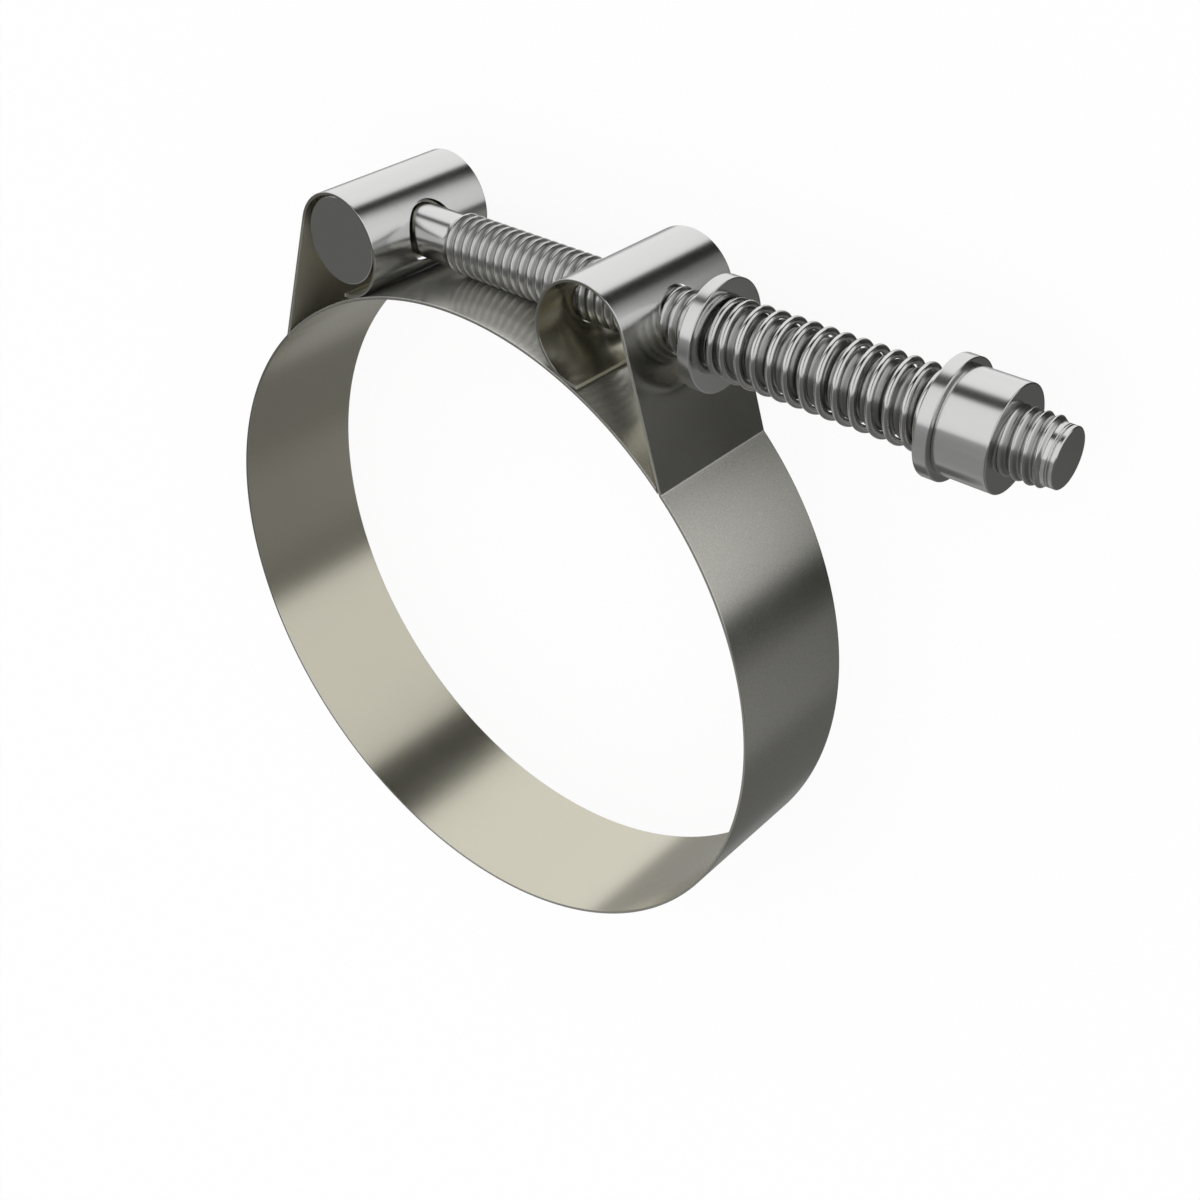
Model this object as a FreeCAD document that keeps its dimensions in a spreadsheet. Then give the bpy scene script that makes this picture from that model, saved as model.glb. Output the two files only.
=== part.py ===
import FreeCAD, Part
import math
import os

import Sketcher

# T-bolt band clamp: a thin steel band whose two ends are folded into loops, a bridge strip that closes the gap
# between them, a T-shaped bolt hooked into the left loop, and a spring between two washers under a round lock nut.
# The clamp lies on the edge of its band. Z is the axis of the bore, X is the direction of the bolt from its cross
# bar to its nut, and Y points from the bore to the bolt. The origin is on the axis, in the plane of the lower edge.

NODES = ("band", "bridge", "t_bolt", "inner_washer", "spring", "outer_washer", "lock_nut")

# Driving sizes in millimetres, angles in degrees
SIZES = (
    ("band_width", 19.05, "width of the band along the bore"),
    ("ring_outer_radius", 43.74, "outside of the band's ring"),
    ("band_thickness", 0.38, "gauge of the band and the bridge"),
    ("fold_angle", 45.7, "place of each fold on the ring, from the X axis"),
    ("loop_radius", 6.28, "outside of each loop"),
    ("loop_drop", 0.347, "straight run of the loop's wall towards the bridge"),
    ("loop_lap_angle", 19.0, "arc of the loop past the line where it comes down on the bridge"),
    ("loop_seat_gap", 0.05, "play between the loop and the bridge"),
    ("bridge_slip_gap", 0.15, "play at the free end of the bridge, under the right fold"),
    ("bolt_radius", 3.175, "plain shank, and plain end of the bolt"),
    ("thread_height", 0.45, "crests of the thread above the plain shank"),
    ("plain_shank", 11.15, "middle of the cross bar to the start of the thread"),
    ("plain_end", 1.07, "plain end of the bolt, past its thread"),
    ("bolt_bridge_gap", 0.085, "play between the shank and the bridge"),
    ("bolt_lift", 0.3, "bolt's axis above the centres of the loops"),
    ("bolt_hole_play", 0.06, "radial play of the thread in the holes of the loops"),
    ("bolt_end_chamfer", 0.15, "chamfer at the end of the bolt"),
    ("bolt_past_nut", 5.6, "end of the bolt beyond the nut"),
    ("cross_bar_play", 0.5, "radius of the cross bar under the inside of its loop"),
    ("cross_bar_pull", 0.1, "cross bar off the centre of its loop, along the bolt"),
    ("cross_bar_recess", 0.5, "ends of the cross bar, below the edges of the band"),
    ("washer_standoff", 4.44, "inner washer from the outermost point of the right loop"),
    ("washer_radius", 6.42, "outside of both washers"),
    ("washer_thickness", 1.6, "both washers"),
    ("washer_play", 0.08, "radial play of the washers on the thread"),
    ("wire_diameter", 0.8, "spring wire"),
    ("coil_play", 0.08, "radial play of the spring on the thread"),
    ("coil_pitch", 2.0, "pitch of the open coils"),
    ("open_turns", 12.13, "number of open turns"),
    ("closed_turns", 1.0, "closed turns at each end"),
    ("closed_coil_gap", 0.05, "play between the wires of a closed turn"),
    ("coil_start_angle", 237.6, "place of the wire's first end about the bolt, from the Y axis"),
    ("spring_end_gap", 0.05, "play between the end coils and the washers"),
    ("nut_radius", 5.65, "outside of the round nut"),
    ("nut_length", 5.89, "length of the nut"),
    ("nut_play", 0.05, "radial play of the nut over the thread"),
    ("nut_rim_chamfer", 0.12, "chamfer on both rims of the nut"),
)


def fill_sheet(document):
    """Makes the spreadsheet with one row for each driving size, and returns it."""
    table = document.addObject("Spreadsheet::Sheet", "Sizes")
    for row, (alias, value, meaning) in enumerate(SIZES, start=1):
        table.set(f"A{row}", alias)
        table.set(f"B{row}", str(value))
        table.set(f"C{row}", meaning)
        table.setAlias(f"B{row}", alias)
    document.recompute()
    return table


document = FreeCAD.newDocument("t_bolt_clamp")
sheet = fill_sheet(document)


def size(alias):
    """Reads one driving size from the sheet."""
    return float(sheet.get(alias))


def value(rule):
    """Works out one of the rules below from the sheet."""
    return float(sheet.evalExpression(rule))


# Places and sizes that follow from the driving ones, as expressions of the sheet. The bolt lies over the bridge, the
# loops stand round the bolt and come down on the bridge, and the spring and nut follow the washers along the bolt.

RING_INNER_RADIUS = "(Sizes.ring_outer_radius - Sizes.band_thickness)"
LOOP_INNER_RADIUS = "(Sizes.loop_radius - Sizes.band_thickness)"
THREAD_RADIUS = "(Sizes.bolt_radius + Sizes.thread_height)"
BOLT_HEIGHT = "(Sizes.ring_outer_radius + Sizes.bolt_bridge_gap + Sizes.bolt_radius)"
BOLT_LEVEL = "Sizes.band_width / 2"
LOOP_HEIGHT = f"({BOLT_HEIGHT} - Sizes.bolt_lift)"
LOOP_REACH = "(Sizes.ring_outer_radius + Sizes.loop_seat_gap + Sizes.loop_drop + Sizes.loop_radius)"
LOOP_OFFSET = f"sqrt({LOOP_REACH}^2 - {LOOP_HEIGHT}^2)"
LOOP_FACE = f"({LOOP_OFFSET} + Sizes.loop_radius)"
CROSS_BAR_PLACE = f"(Sizes.cross_bar_pull - {LOOP_OFFSET})"
CROSS_BAR_RADIUS = f"({LOOP_INNER_RADIUS} - Sizes.cross_bar_play)"
THREAD_START = f"({CROSS_BAR_PLACE} + Sizes.plain_shank)"
CLOSED_PITCH = "(Sizes.wire_diameter + Sizes.closed_coil_gap)"
COIL_WIDTH = f"(2 * Sizes.closed_turns * {CLOSED_PITCH} + Sizes.open_turns * Sizes.coil_pitch)"
COIL_RADIUS = f"({THREAD_RADIUS} + Sizes.coil_play + Sizes.wire_diameter / 2)"
INNER_WASHER_PLACE = f"({LOOP_FACE} + Sizes.washer_standoff)"
FIRST_COIL_PLACE = (
    f"({INNER_WASHER_PLACE} + Sizes.washer_thickness + Sizes.spring_end_gap + Sizes.wire_diameter / 2)"
)
OUTER_WASHER_PLACE = f"({FIRST_COIL_PLACE} + {COIL_WIDTH} + Sizes.wire_diameter / 2 + Sizes.spring_end_gap)"
NUT_PLACE = f"({OUTER_WASHER_PLACE} + Sizes.washer_thickness)"
BOLT_END = f"({NUT_PLACE} + Sizes.nut_length + Sizes.bolt_past_nut)"


# Plane geometry across the bore


def polar(radius, degrees, centre=FreeCAD.Vector()):
    """Point at a radius and an angle about a centre."""
    angle = math.radians(degrees)
    return centre + FreeCAD.Vector(radius * math.cos(angle), radius * math.sin(angle), 0)


def angle_of(point):
    """Angle of a point about the origin, in degrees."""
    return math.degrees(math.atan2(point.y, point.x))


def mirrored(point):
    """The same point on the left side."""
    return FreeCAD.Vector(-point.x, point.y, 0)


def line_meets_circle(start, heading, radius):
    """First point where a line from start along a unit heading meets the circle of that radius about the origin."""
    half = start.dot(heading)
    rest = start.dot(start) - radius * radius
    return start + heading * (-half - math.sqrt(half * half - rest))


class LoopPlan:
    """Centres, angles and corner points of the right fold and loop, worked out from the driving sizes."""

    def __init__(self):
        self.ring_out = size("ring_outer_radius")
        self.ring_in = value(RING_INNER_RADIUS)
        self.loop_out = size("loop_radius")
        self.loop_in = value(LOOP_INNER_RADIUS)
        self.centre = FreeCAD.Vector(value(LOOP_OFFSET), value(LOOP_HEIGHT), 0)
        outward = angle_of(self.centre)
        self.low_centre = self.centre - polar(size("loop_drop"), outward)
        self.fold = polar(self.ring_out, size("fold_angle"))
        reach = self.centre - self.fold
        self.leg_heading = angle_of(reach) - math.degrees(math.asin(self.loop_out / reach.Length))
        self.leg_angle = self.leg_heading - 90
        self.side_angle = outward + 90
        self.end_angle = outward + 180 + size("loop_lap_angle")

    def upper(self, radius, degrees):
        """Point on the upper arc of the loop."""
        return polar(radius, degrees, self.centre)

    def lower(self, radius, degrees):
        """Point on the lower arc of the loop, nearer to the bridge."""
        return polar(radius, degrees, self.low_centre)

    def under_leg(self, radius, gap=0.0):
        """Point where the leg's inner face, moved inwards by a gap, crosses a circle about the bore's axis."""
        start = self.upper(self.loop_in - gap, self.leg_angle)
        return line_meets_circle(start, polar(-1, self.leg_heading), radius)


plan = LoopPlan()


# Helpers for bodies, sketches and features

ORIGIN_POINT = (-1, 1)


class Spot:
    """The sketcher's numbers for the ends and the centre of an edge."""

    START = 1
    END = 2
    CENTRE = 3


def origin_plane(body, role):
    """One of the origin planes of a body, by its role."""
    return next(feature for feature in body.Origin.OriginFeatures if feature.Role == role)


def new_body(node):
    """A body whose label is the name of its node."""
    body = document.addObject("PartDesign::Body", node)
    body.Label = node
    return body


def new_sketch(body, name, role, lift=None):
    """A sketch on one of the body's origin planes, lifted off it by a rule where one is given."""
    sketch = body.newObject("Sketcher::SketchObject", name)
    sketch.AttachmentSupport = [(origin_plane(body, role), "")]
    sketch.MapMode = "FlatFace"
    if lift:
        sketch.setExpression("AttachmentOffset.Base.z", lift)
    return sketch


def bind(sketch, constraint, rule):
    """Adds a constraint whose value follows a rule."""
    place = sketch.addConstraint(constraint)
    sketch.setExpression(f"Constraints[{place}]", rule)


def add_line(sketch, start, end):
    """A straight edge between two points."""
    return sketch.addGeometry(Part.LineSegment(start, end), False)


def add_arc(sketch, centre, rule, start, end):
    """An arc about a centre from one angle up to another, with the radius that a rule gives."""
    circle = Part.Circle(centre, FreeCAD.Vector(0, 0, 1), value(rule))
    edge = sketch.addGeometry(Part.ArcOfCircle(circle, math.radians(start), math.radians(end)), False)
    bind(sketch, Sketcher.Constraint("Radius", edge, circle.Radius), rule)
    return edge


def add_circle(sketch, across_rule, up_rule, radius_rule):
    """A full circle whose centre and radius follow rules."""
    centre = FreeCAD.Vector(value(across_rule), value(up_rule), 0)
    circle = Part.Circle(centre, FreeCAD.Vector(0, 0, 1), value(radius_rule))
    edge = sketch.addGeometry(circle, False)
    bind(sketch, Sketcher.Constraint("DistanceX", *ORIGIN_POINT, edge, Spot.CENTRE, centre.x), across_rule)
    bind(sketch, Sketcher.Constraint("DistanceY", *ORIGIN_POINT, edge, Spot.CENTRE, centre.y), up_rule)
    bind(sketch, Sketcher.Constraint("Radius", edge, circle.Radius), radius_rule)


def join(sketch, first, first_end, second, second_end):
    """Ties the end of one edge to the end of another."""
    sketch.addConstraint(Sketcher.Constraint("Coincident", first, first_end, second, second_end))


def pad(body, name, sketch, length_rule):
    """Pads a sketch along its normal."""
    feature = body.newObject("PartDesign::Pad", name)
    feature.Profile = sketch
    feature.setExpression("Length", length_rule)
    document.recompute()
    return feature


def drill(body, name, sketch, length_rule, along_normal):
    """Cuts a sketch through the body to one side, and makes sure that it removed material."""
    before = body.Shape.Volume
    feature = body.newObject("PartDesign::Pocket", name)
    feature.Profile = sketch
    feature.Reversed = along_normal
    feature.setExpression("Length", length_rule)
    document.recompute()
    if body.Shape.Volume >= before:
        raise RuntimeError(f"{name} removed nothing")


def circle_edges(shape, radius, place):
    """Names of the round edges of a shape that have this radius and lie at this X."""
    near = 1e-6
    names = []
    for number, edge in enumerate(shape.Edges, start=1):
        if not isinstance(edge.Curve, Part.Circle) or abs(edge.Curve.Radius - radius) > near:
            continue
        if abs(edge.Curve.Center.x - place) < near:
            names.append(f"Edge{number}")
    return names


def chamfer(body, name, feature, edges, size_rule):
    """Breaks the named edges of a feature."""
    cut = body.newObject("PartDesign::Chamfer", name)
    cut.Base = (feature, edges)
    cut.setExpression("Size", size_rule)
    document.recompute()


# Band: one strip, from the cut end of one loop round the back of the bore to the cut end of the other


def draw_band_face(sketch, ring_rule, loop_rule, fold):
    """Draws one face of the right half of the strip, from the middle plane to the loop's end.

    Returns its first and last edges.
    """
    loop = value(loop_rule)
    edges = (
        add_arc(sketch, FreeCAD.Vector(), ring_rule, -90, angle_of(fold)),
        add_line(sketch, fold, plan.upper(loop, plan.leg_angle)),
        add_arc(sketch, plan.centre, loop_rule, plan.leg_angle, plan.side_angle),
        add_line(sketch, plan.upper(loop, plan.side_angle), plan.lower(loop, plan.side_angle)),
        add_arc(sketch, plan.low_centre, loop_rule, plan.side_angle, plan.end_angle),
    )
    for before, after in zip(edges, edges[1:]):
        join(sketch, before, Spot.END, after, Spot.START)
    return edges[0], edges[-1]


def make_band():
    """Pads the section of the right half of the strip, mirrors it, and drills the loops for the bolt."""
    body = new_body("band")
    outline = new_sketch(body, "BandOutline", "XY_Plane")
    outer = draw_band_face(outline, "Sizes.ring_outer_radius", "Sizes.loop_radius", plan.fold)
    inner = draw_band_face(outline, RING_INNER_RADIUS, LOOP_INNER_RADIUS, plan.under_leg(plan.ring_in))
    back = add_line(outline, polar(plan.ring_out, -90), polar(plan.ring_in, -90))
    cut_end = add_line(
        outline, plan.lower(plan.loop_out, plan.end_angle), plan.lower(plan.loop_in, plan.end_angle)
    )
    join(outline, outer[0], Spot.START, back, Spot.START)
    join(outline, inner[0], Spot.START, back, Spot.END)
    join(outline, outer[1], Spot.END, cut_end, Spot.START)
    join(outline, inner[1], Spot.END, cut_end, Spot.END)
    half = pad(body, "BandHalf", outline, "Sizes.band_width")
    whole = body.newObject("PartDesign::Mirrored", "BandMirrored")
    whole.Originals = [half]
    whole.MirrorPlane = (origin_plane(body, "YZ_Plane"), [""])
    body.Tip = whole
    document.recompute()
    hole_radius = f"{THREAD_RADIUS} + Sizes.bolt_hole_play"
    for name, along_normal, length_rule in (
        ("RightLoopHoles", True, f"{LOOP_FACE} + Sizes.loop_radius"),
        ("LeftLoopHole", False, LOOP_OFFSET),
    ):
        hole = new_sketch(body, name + "Outline", "YZ_Plane")
        add_circle(hole, BOLT_HEIGHT, BOLT_LEVEL, hole_radius)
        drill(body, name, hole, length_rule, along_normal)
    return body


# Bridge: the strip that closes the ring between the folds, welded at the left fold and free at the right one


def make_bridge():
    """Pads the section of the bridge, whose end faces lie along the inner faces of the legs."""
    body = new_body("bridge")
    outline = new_sketch(body, "BridgeOutline", "XY_Plane")
    free = size("bridge_slip_gap")
    right_out = plan.under_leg(plan.ring_out, free)
    right_in = plan.under_leg(plan.ring_in, free)
    left_out = mirrored(plan.under_leg(plan.ring_out))
    left_in = mirrored(plan.under_leg(plan.ring_in))
    axis = FreeCAD.Vector()
    outer = add_arc(outline, axis, "Sizes.ring_outer_radius", angle_of(right_out), angle_of(left_out))
    inner = add_arc(outline, axis, RING_INNER_RADIUS, angle_of(right_in), angle_of(left_in))
    right = add_line(outline, right_in, right_out)
    left = add_line(outline, left_in, left_out)
    join(outline, inner, Spot.START, right, Spot.START)
    join(outline, right, Spot.END, outer, Spot.START)
    join(outline, inner, Spot.END, left, Spot.START)
    join(outline, left, Spot.END, outer, Spot.END)
    pad(body, "BridgePad", outline, "Sizes.band_width")
    return body


# T-bolt: a solid cross bar that lies in the left loop, forged in one with its shank

BRIDGE_CLEARANCE = "Sizes.ring_outer_radius + Sizes.bolt_bridge_gap"
UNDERSIDE_SPAN = (70, 110)


def make_t_bolt():
    """Pads the cross bar across the band, then the shank and the thread's crests along the bolt's axis.

    The crests stand lower than the top of the bridge, so the bolt's underside is hollowed to pass over it.
    """
    body = new_body("t_bolt")
    bar = new_sketch(body, "CrossBarOutline", "XY_Plane", "Sizes.cross_bar_recess")
    add_circle(bar, CROSS_BAR_PLACE, BOLT_HEIGHT, CROSS_BAR_RADIUS)
    pad(body, "CrossBar", bar, "Sizes.band_width - 2 * Sizes.cross_bar_recess")
    shank = new_sketch(body, "ShankOutline", "YZ_Plane", CROSS_BAR_PLACE)
    add_circle(shank, BOLT_HEIGHT, BOLT_LEVEL, "Sizes.bolt_radius")
    rod = pad(body, "Shank", shank, f"{BOLT_END} - {CROSS_BAR_PLACE}")
    edges = circle_edges(rod.Shape, size("bolt_radius"), value(BOLT_END))
    chamfer(body, "BoltEnd", rod, edges, "Sizes.bolt_end_chamfer")
    crests = new_sketch(body, "ThreadOutline", "YZ_Plane", THREAD_START)
    add_circle(crests, BOLT_HEIGHT, BOLT_LEVEL, THREAD_RADIUS)
    pad(body, "Thread", crests, f"{BOLT_END} - Sizes.plain_end - {THREAD_START}")
    under = new_sketch(body, "UndersideOutline", "XY_Plane")
    clear = add_arc(under, FreeCAD.Vector(), BRIDGE_CLEARANCE, *UNDERSIDE_SPAN)
    ends = polar(value(BRIDGE_CLEARANCE), UNDERSIDE_SPAN[0]), polar(value(BRIDGE_CLEARANCE), UNDERSIDE_SPAN[1])
    chord = add_line(under, *ends)
    join(under, clear, Spot.START, chord, Spot.START)
    join(under, clear, Spot.END, chord, Spot.END)
    drill(body, "Underside", under, "Sizes.band_width", True)
    return body


# Rings on the bolt: both washers and the nut


def make_ring(node, title, place_rule, radius_rule, play_rule, length_rule):
    """Pads a ring about the bolt's axis, with its first face at a place along the bolt. Returns its body and pad."""
    body = new_body(node)
    outline = new_sketch(body, title + "Outline", "YZ_Plane", place_rule)
    for rule in (radius_rule, f"{THREAD_RADIUS} + {play_rule}"):
        add_circle(outline, BOLT_HEIGHT, BOLT_LEVEL, rule)
    return body, pad(body, title + "Pad", outline, length_rule)


def make_washer(node, title, place_rule):
    """A flat washer with its first face at a place along the bolt."""
    return make_ring(
        node, title, place_rule, "Sizes.washer_radius", "Sizes.washer_play", "Sizes.washer_thickness"
    )[0]


def make_lock_nut():
    """The round nut, with both of its rims broken."""
    body, ring = make_ring("lock_nut", "Nut", NUT_PLACE, "Sizes.nut_radius", "Sizes.nut_play", "Sizes.nut_length")
    near_face = value(NUT_PLACE)
    rims = []
    for place in (near_face, near_face + size("nut_length")):
        rims += circle_edges(ring.Shape, size("nut_radius"), place)
    chamfer(body, "NutRims", ring, rims, "Sizes.nut_rim_chamfer")
    return body


# Spring: a right-handed coil, closed at both ends. Its wire is a prism of twelve sides that is mitred along short
# straight runs, twenty to a turn, which keeps the solid light. Its section has the area of the round wire.

WIRE_SIDES = 12
RUNS_PER_TURN = 20


def coil_advance(turn):
    """Way of the wire along the bolt after a number of turns, slow in the closed turns at both ends."""
    closed = size("closed_turns")
    opened = size("open_turns")
    slow = min(turn, closed) + max(turn - closed - opened, 0)
    fast = min(max(turn - closed, 0), opened)
    return value(CLOSED_PITCH) * slow + size("coil_pitch") * fast


def coil_points():
    """Corners of the wire's centre line, evenly spaced in angle."""
    turns = 2 * size("closed_turns") + size("open_turns")
    runs = round(turns * RUNS_PER_TURN)
    start = FreeCAD.Vector(value(FIRST_COIL_PLACE), value(BOLT_HEIGHT), value(BOLT_LEVEL))
    radius = value(COIL_RADIUS)
    points = []
    for corner in range(runs + 1):
        turn = turns * corner / runs
        angle = math.radians(size("coil_start_angle")) + 2 * math.pi * turn
        across = FreeCAD.Vector(0, radius * math.cos(angle), radius * math.sin(angle))
        points.append(start + FreeCAD.Vector(coil_advance(turn), 0, 0) + across)
    return points


def wire_section(centre, heading):
    """The wire's twelve-sided section about a point, square to a heading."""
    area_share = WIRE_SIDES * math.sin(2 * math.pi / WIRE_SIDES) / (2 * math.pi)
    corner_radius = size("wire_diameter") / 2 / math.sqrt(area_share)
    outward = heading.cross(FreeCAD.Vector(1, 0, 0)).normalize()
    upward = heading.cross(outward)
    corners = []
    for side in range(WIRE_SIDES + 1):
        angle = 2 * math.pi * (side + 0.5) / WIRE_SIDES
        corners.append(
            centre + outward * (corner_radius * math.cos(angle)) + upward * (corner_radius * math.sin(angle))
        )
    return Part.makePolygon(corners)


def make_spring():
    """Sweeps the wire's section along the coil, with a mitre at each corner."""
    points = coil_points()
    section = wire_section(points[0], (points[1] - points[0]).normalize())
    mitred = 1
    feature = document.addObject("Part::Feature", "spring")
    feature.Label = "spring"
    feature.Shape = Part.makePolygon(points).makePipeShell([section], True, False, mitred)
    return feature


# Assembly


def check(pieces):
    """Stops where a feature failed, or a piece is empty, broken or missing."""
    for feature in document.Objects:
        if {"Invalid", "Error"} & set(feature.State):
            raise RuntimeError(f"{feature.Name} failed: {feature.State}")
    for piece in pieces:
        if piece.Shape.isNull() or not piece.Shape.isValid() or len(piece.Shape.Solids) != 1:
            raise RuntimeError(f"{piece.Label} isn't one valid solid")
    if tuple(piece.Label for piece in pieces) != NODES:
        raise RuntimeError("a piece is missing or misnamed")


pieces = (
    make_band(),
    make_bridge(),
    make_t_bolt(),
    make_washer("inner_washer", "InnerWasher", INNER_WASHER_PLACE),
    make_spring(),
    make_washer("outer_washer", "OuterWasher", OUTER_WASHER_PLACE),
    make_lock_nut(),
)
document.recompute()
check(pieces)

os.makedirs("parts", exist_ok=True)
for piece in pieces:
    piece.Shape.exportStep(f"parts/{piece.Label}.step")
    low = piece.Shape.optimalBoundingBox(False)
    print(
        f"{piece.Label}: {piece.Shape.Volume:.1f} mm3, x {low.XMin:.3f}..{low.XMax:.3f},"
        f" y {low.YMin:.3f}..{low.YMax:.3f}, z {low.ZMin:.3f}..{low.ZMax:.3f}"
    )
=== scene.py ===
import logging
import math
from dataclasses import dataclass, field
from enum import Enum

import bmesh
import bpy
import numpy as np
from mathutils import Matrix, Vector

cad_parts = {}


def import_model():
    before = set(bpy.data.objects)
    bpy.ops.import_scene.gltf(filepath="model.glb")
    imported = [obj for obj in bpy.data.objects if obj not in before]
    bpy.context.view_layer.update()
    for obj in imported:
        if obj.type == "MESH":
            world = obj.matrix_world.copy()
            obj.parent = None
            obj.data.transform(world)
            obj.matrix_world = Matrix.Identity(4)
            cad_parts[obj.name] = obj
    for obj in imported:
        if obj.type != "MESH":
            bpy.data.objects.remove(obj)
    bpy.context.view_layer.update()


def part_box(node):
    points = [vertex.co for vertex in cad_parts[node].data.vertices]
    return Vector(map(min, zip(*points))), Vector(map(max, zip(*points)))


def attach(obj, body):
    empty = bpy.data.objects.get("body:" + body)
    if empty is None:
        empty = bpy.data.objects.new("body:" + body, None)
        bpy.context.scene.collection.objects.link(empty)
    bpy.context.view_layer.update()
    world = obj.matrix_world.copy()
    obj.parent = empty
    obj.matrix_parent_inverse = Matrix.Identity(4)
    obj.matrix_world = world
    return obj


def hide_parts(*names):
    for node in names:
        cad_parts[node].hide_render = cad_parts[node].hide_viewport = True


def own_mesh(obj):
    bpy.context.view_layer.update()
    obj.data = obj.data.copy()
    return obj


log = logging.getLogger("clamp")

# One millimetre in metres, and the distance under which two points are one
MM = 0.001
WELD = 2e-7
# What keeps a root or a quotient away from zero
SMALL = 1e-6
# The bolt's axis over the bore's axis and over the floor, and the ring's outer radius, in millimetres
BOLT_HEIGHT = 47.0
BOLT_LEVEL = 9.525
RING_RADIUS = 43.74
# Where the thread begins along the bolt, and where the bolt's plain end does
THREAD_START = -7.75
PLAIN_START = 70.0
# Steps round a turned part, and steps of a rounded rim
SIDES = 128
RIM_STEPS = 4


class Body(Enum):
    """Bodies of the frame that the pieces ride on."""

    CLAMP = "clamp_band"
    OUTER_SEAT = "outer_seat"
    INNER_SEAT = "inner_seat"
    NUT = "nut"


class Wall(Enum):
    """Which wall of a loop a bolt hole goes through."""

    LEG_SIDE = 1
    BRIDGE_SIDE = 2


def directions(angles: np.ndarray | float) -> np.ndarray:
    """Unit vectors in the plane across the bore: cosine and sine of each angle in radians."""
    return np.stack([np.cos(angles), np.sin(angles)], axis=-1)


def smooth_step(low: float, high: float, values: np.ndarray) -> np.ndarray:
    """Zero below low, one above high, and 3t^2 - 2t^3 between them.

    Args:
        low: value where the step starts.
        high: value where it ends.
        values: where it is worked out.

    Returns:
        The step at each value.
    """
    t = np.clip((values - low) / (high - low), 0.0, 1.0)
    return t * t * (3.0 - 2.0 * t)


def rounded_corner(radius: float, turns: np.ndarray) -> tuple[np.ndarray, np.ndarray]:
    """Inset from each of the two faces along a quarter round.

    The inset from the first face is radius (1 - cos a), the one from the second is radius (1 - sin a).

    Args:
        radius: radius of the round.
        turns: angles from 0 at the first face to a quarter turn at the second.

    Returns:
        Both insets, each with one number per angle.
    """
    return radius * (1.0 - np.cos(turns)), radius * (1.0 - np.sin(turns))


def shade(mesh: bpy.types.Mesh, sharp_degrees: float) -> None:
    """Shades a mesh smooth, with crisp edges where its faces meet at more than an angle."""
    mesh.polygons.foreach_set("use_smooth", np.ones(len(mesh.polygons), bool))
    mesh.set_sharp_from_angle(angle=math.radians(sharp_degrees))


def open_edges(made: bmesh.types.BMesh) -> int:
    """Number of edges that don't have exactly two faces."""
    return sum(not edge.is_manifold for edge in made.edges)


@dataclass
class Shell:
    """Vertices in millimetres and faces that are added up before they become a mesh."""

    points: list[np.ndarray] = field(default_factory=list)
    marks: dict[str, list[np.ndarray]] = field(default_factory=dict)
    faces: list[list[int]] = field(default_factory=list)
    count: int = 0

    def add_points(self, points: np.ndarray, **marks: np.ndarray) -> np.ndarray:
        """Adds vertices.

        Args:
            points: array whose last axis is X, Y, Z.
            marks: numbers that each vertex keeps for its finish, by name, as arrays of one number each.

        Returns:
            Their numbers, in the shape of the array without its last axis.
        """
        flat = points.reshape(-1, 3)
        numbers = np.arange(self.count, self.count + len(flat)).reshape(points.shape[:-1])
        self.points.append(flat)
        for name, values in marks.items():
            self.marks.setdefault(name, []).append(np.broadcast_to(values, numbers.shape).ravel())
        self.count += len(flat)
        return numbers

    def add_quads(self, numbers: np.ndarray, keep: np.ndarray | None = None) -> None:
        """Adds one face for each cell of a grid of vertex numbers.

        Args:
            numbers: vertex numbers, rows by columns.
            keep: True for each cell that gets a face, or None for all.
        """
        corners = [numbers[:-1, :-1], numbers[1:, :-1], numbers[1:, 1:], numbers[:-1, 1:]]
        cells = np.stack(corners, axis=-1)
        chosen = cells.reshape(-1, 4) if keep is None else cells[keep]
        self.faces += chosen.tolist()

    def add_tube(self, numbers: np.ndarray, keep: np.ndarray | None = None) -> None:
        """Adds the faces of a grid whose rows close on themselves, where it is kept."""
        self.add_quads(np.concatenate([numbers, numbers[:, :1]], axis=1), keep)

    def add_ends(self, numbers: np.ndarray) -> None:
        """Closes both ends of such a grid with one face each."""
        self.faces += [numbers[0].tolist(), numbers[-1].tolist()]

    def add_fan(self, ring: np.ndarray, centre: np.ndarray) -> None:
        """Closes a ring of vertices with triangles to a point.

        Args:
            ring: vertex numbers of the open ring, the first one not repeated.
            centre: the point.
        """
        middle = self.add_points(centre.reshape(1, 3))[0]
        triangles = np.stack([ring, np.roll(ring, -1), np.full_like(ring, middle)], axis=-1)
        self.faces += triangles.tolist()

    def build(self, name: str, sharp_degrees: float) -> bpy.types.Object:
        """Welds the shell, turns its faces outwards and puts it into the scene.

        Args:
            name: name of the piece.
            sharp_degrees: edges with a larger angle than this stay crisp.

        Returns:
            The object, at the origin, in metres.
        """
        mesh = bpy.data.meshes.new(name)
        mesh.from_pydata((np.concatenate(self.points) * MM).tolist(), [], self.faces)
        for mark, values in self.marks.items():
            layer = mesh.attributes.new(mark, "FLOAT", "POINT")
            layer.data.foreach_set("value", np.concatenate(values).astype(np.float32))
        made = bmesh.new()
        made.from_mesh(mesh)
        bmesh.ops.remove_doubles(made, verts=made.verts, dist=WELD)
        bmesh.ops.dissolve_degenerate(made, edges=made.edges, dist=WELD)
        bmesh.ops.recalc_face_normals(made, faces=made.faces)
        made.to_mesh(mesh)
        log.info("%s: %d faces, %d open edges", name, len(mesh.polygons), open_edges(made))
        made.free()
        shade(mesh, sharp_degrees)
        piece = bpy.data.objects.new(name, mesh)
        bpy.context.scene.collection.objects.link(piece)
        return piece


# The strip: band and bridge


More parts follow.
